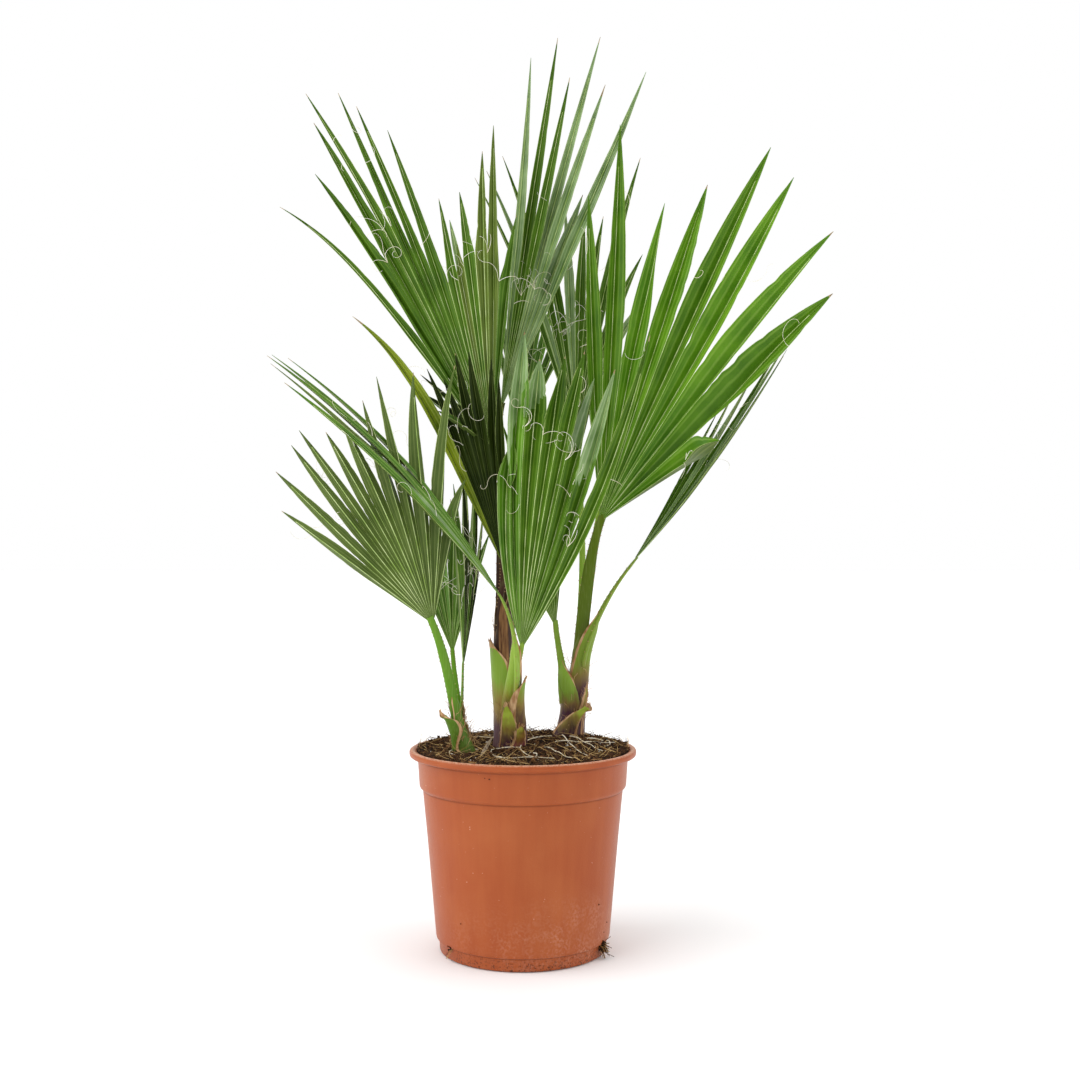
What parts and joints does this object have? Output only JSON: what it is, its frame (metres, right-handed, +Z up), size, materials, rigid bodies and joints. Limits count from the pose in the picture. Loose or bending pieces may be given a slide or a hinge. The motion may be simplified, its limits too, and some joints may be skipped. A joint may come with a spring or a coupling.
{
  "type": "potted fan palm",
  "caption": "Young fan palm with pleated green fronds on several short stems, growing in a round tapered terracotta-coloured plastic nursery pot.",
  "frame": {"origin": "middle of the pot's flat underside, on the surface that the pot stands on", "axes": "+Z up along the pot's axis, -Y towards the front as the plant is seen in the picture, +X to the right"},
  "size_m": [0.4925, 0.363, 0.8779],
  "materials": {
    "pot": "satin, lightly scuffed",
    "soil": "loose fibrous peat",
    "stem": "fibrous, purple-brown to green",
    "stub": "dry, tan at the cut",
    "petiole": "smooth, green",
    "frond": "satin, pleated"
  },
  "bodies": {
    "root": {"pot": "pot", "soil": "soil", "left_stem": "stem", "middle_stem": "stem", "right_stem": "stem", "left_stub_1": "stub", "left_stub_2": "stub", "middle_stub_1": "stub", "middle_stub_2": "stub", "middle_stub_3": "stub", "middle_stub_4": "stub", "right_stub_1": "stub", "right_stub_2": "stub", "left_petiole_1": "petiole", "left_petiole_2": "petiole", "left_petiole_3": "petiole", "middle_petiole_1": "petiole", "middle_petiole_2": "petiole", "middle_petiole_3": "petiole", "middle_petiole_4": "petiole", "middle_petiole_5": "petiole", "middle_petiole_6": "petiole", "middle_petiole_7": "petiole", "right_petiole_1": "petiole", "right_petiole_2": "petiole", "right_petiole_3": "petiole", "right_petiole_4": "petiole", "right_petiole_5": "petiole", "left_fan_1": "frond", "left_fan_2": "frond", "left_fan_3": "frond", "middle_fan_1": "frond", "middle_fan_2": "frond", "middle_fan_3": "frond", "middle_fan_4": "frond", "middle_fan_5": "frond", "middle_fan_6": "frond", "middle_fan_7": "frond", "right_fan_1": "frond", "right_fan_2": "frond", "right_fan_3": "frond", "right_fan_4": "frond", "right_fan_5": "frond"}
  },
  "joints": []
}
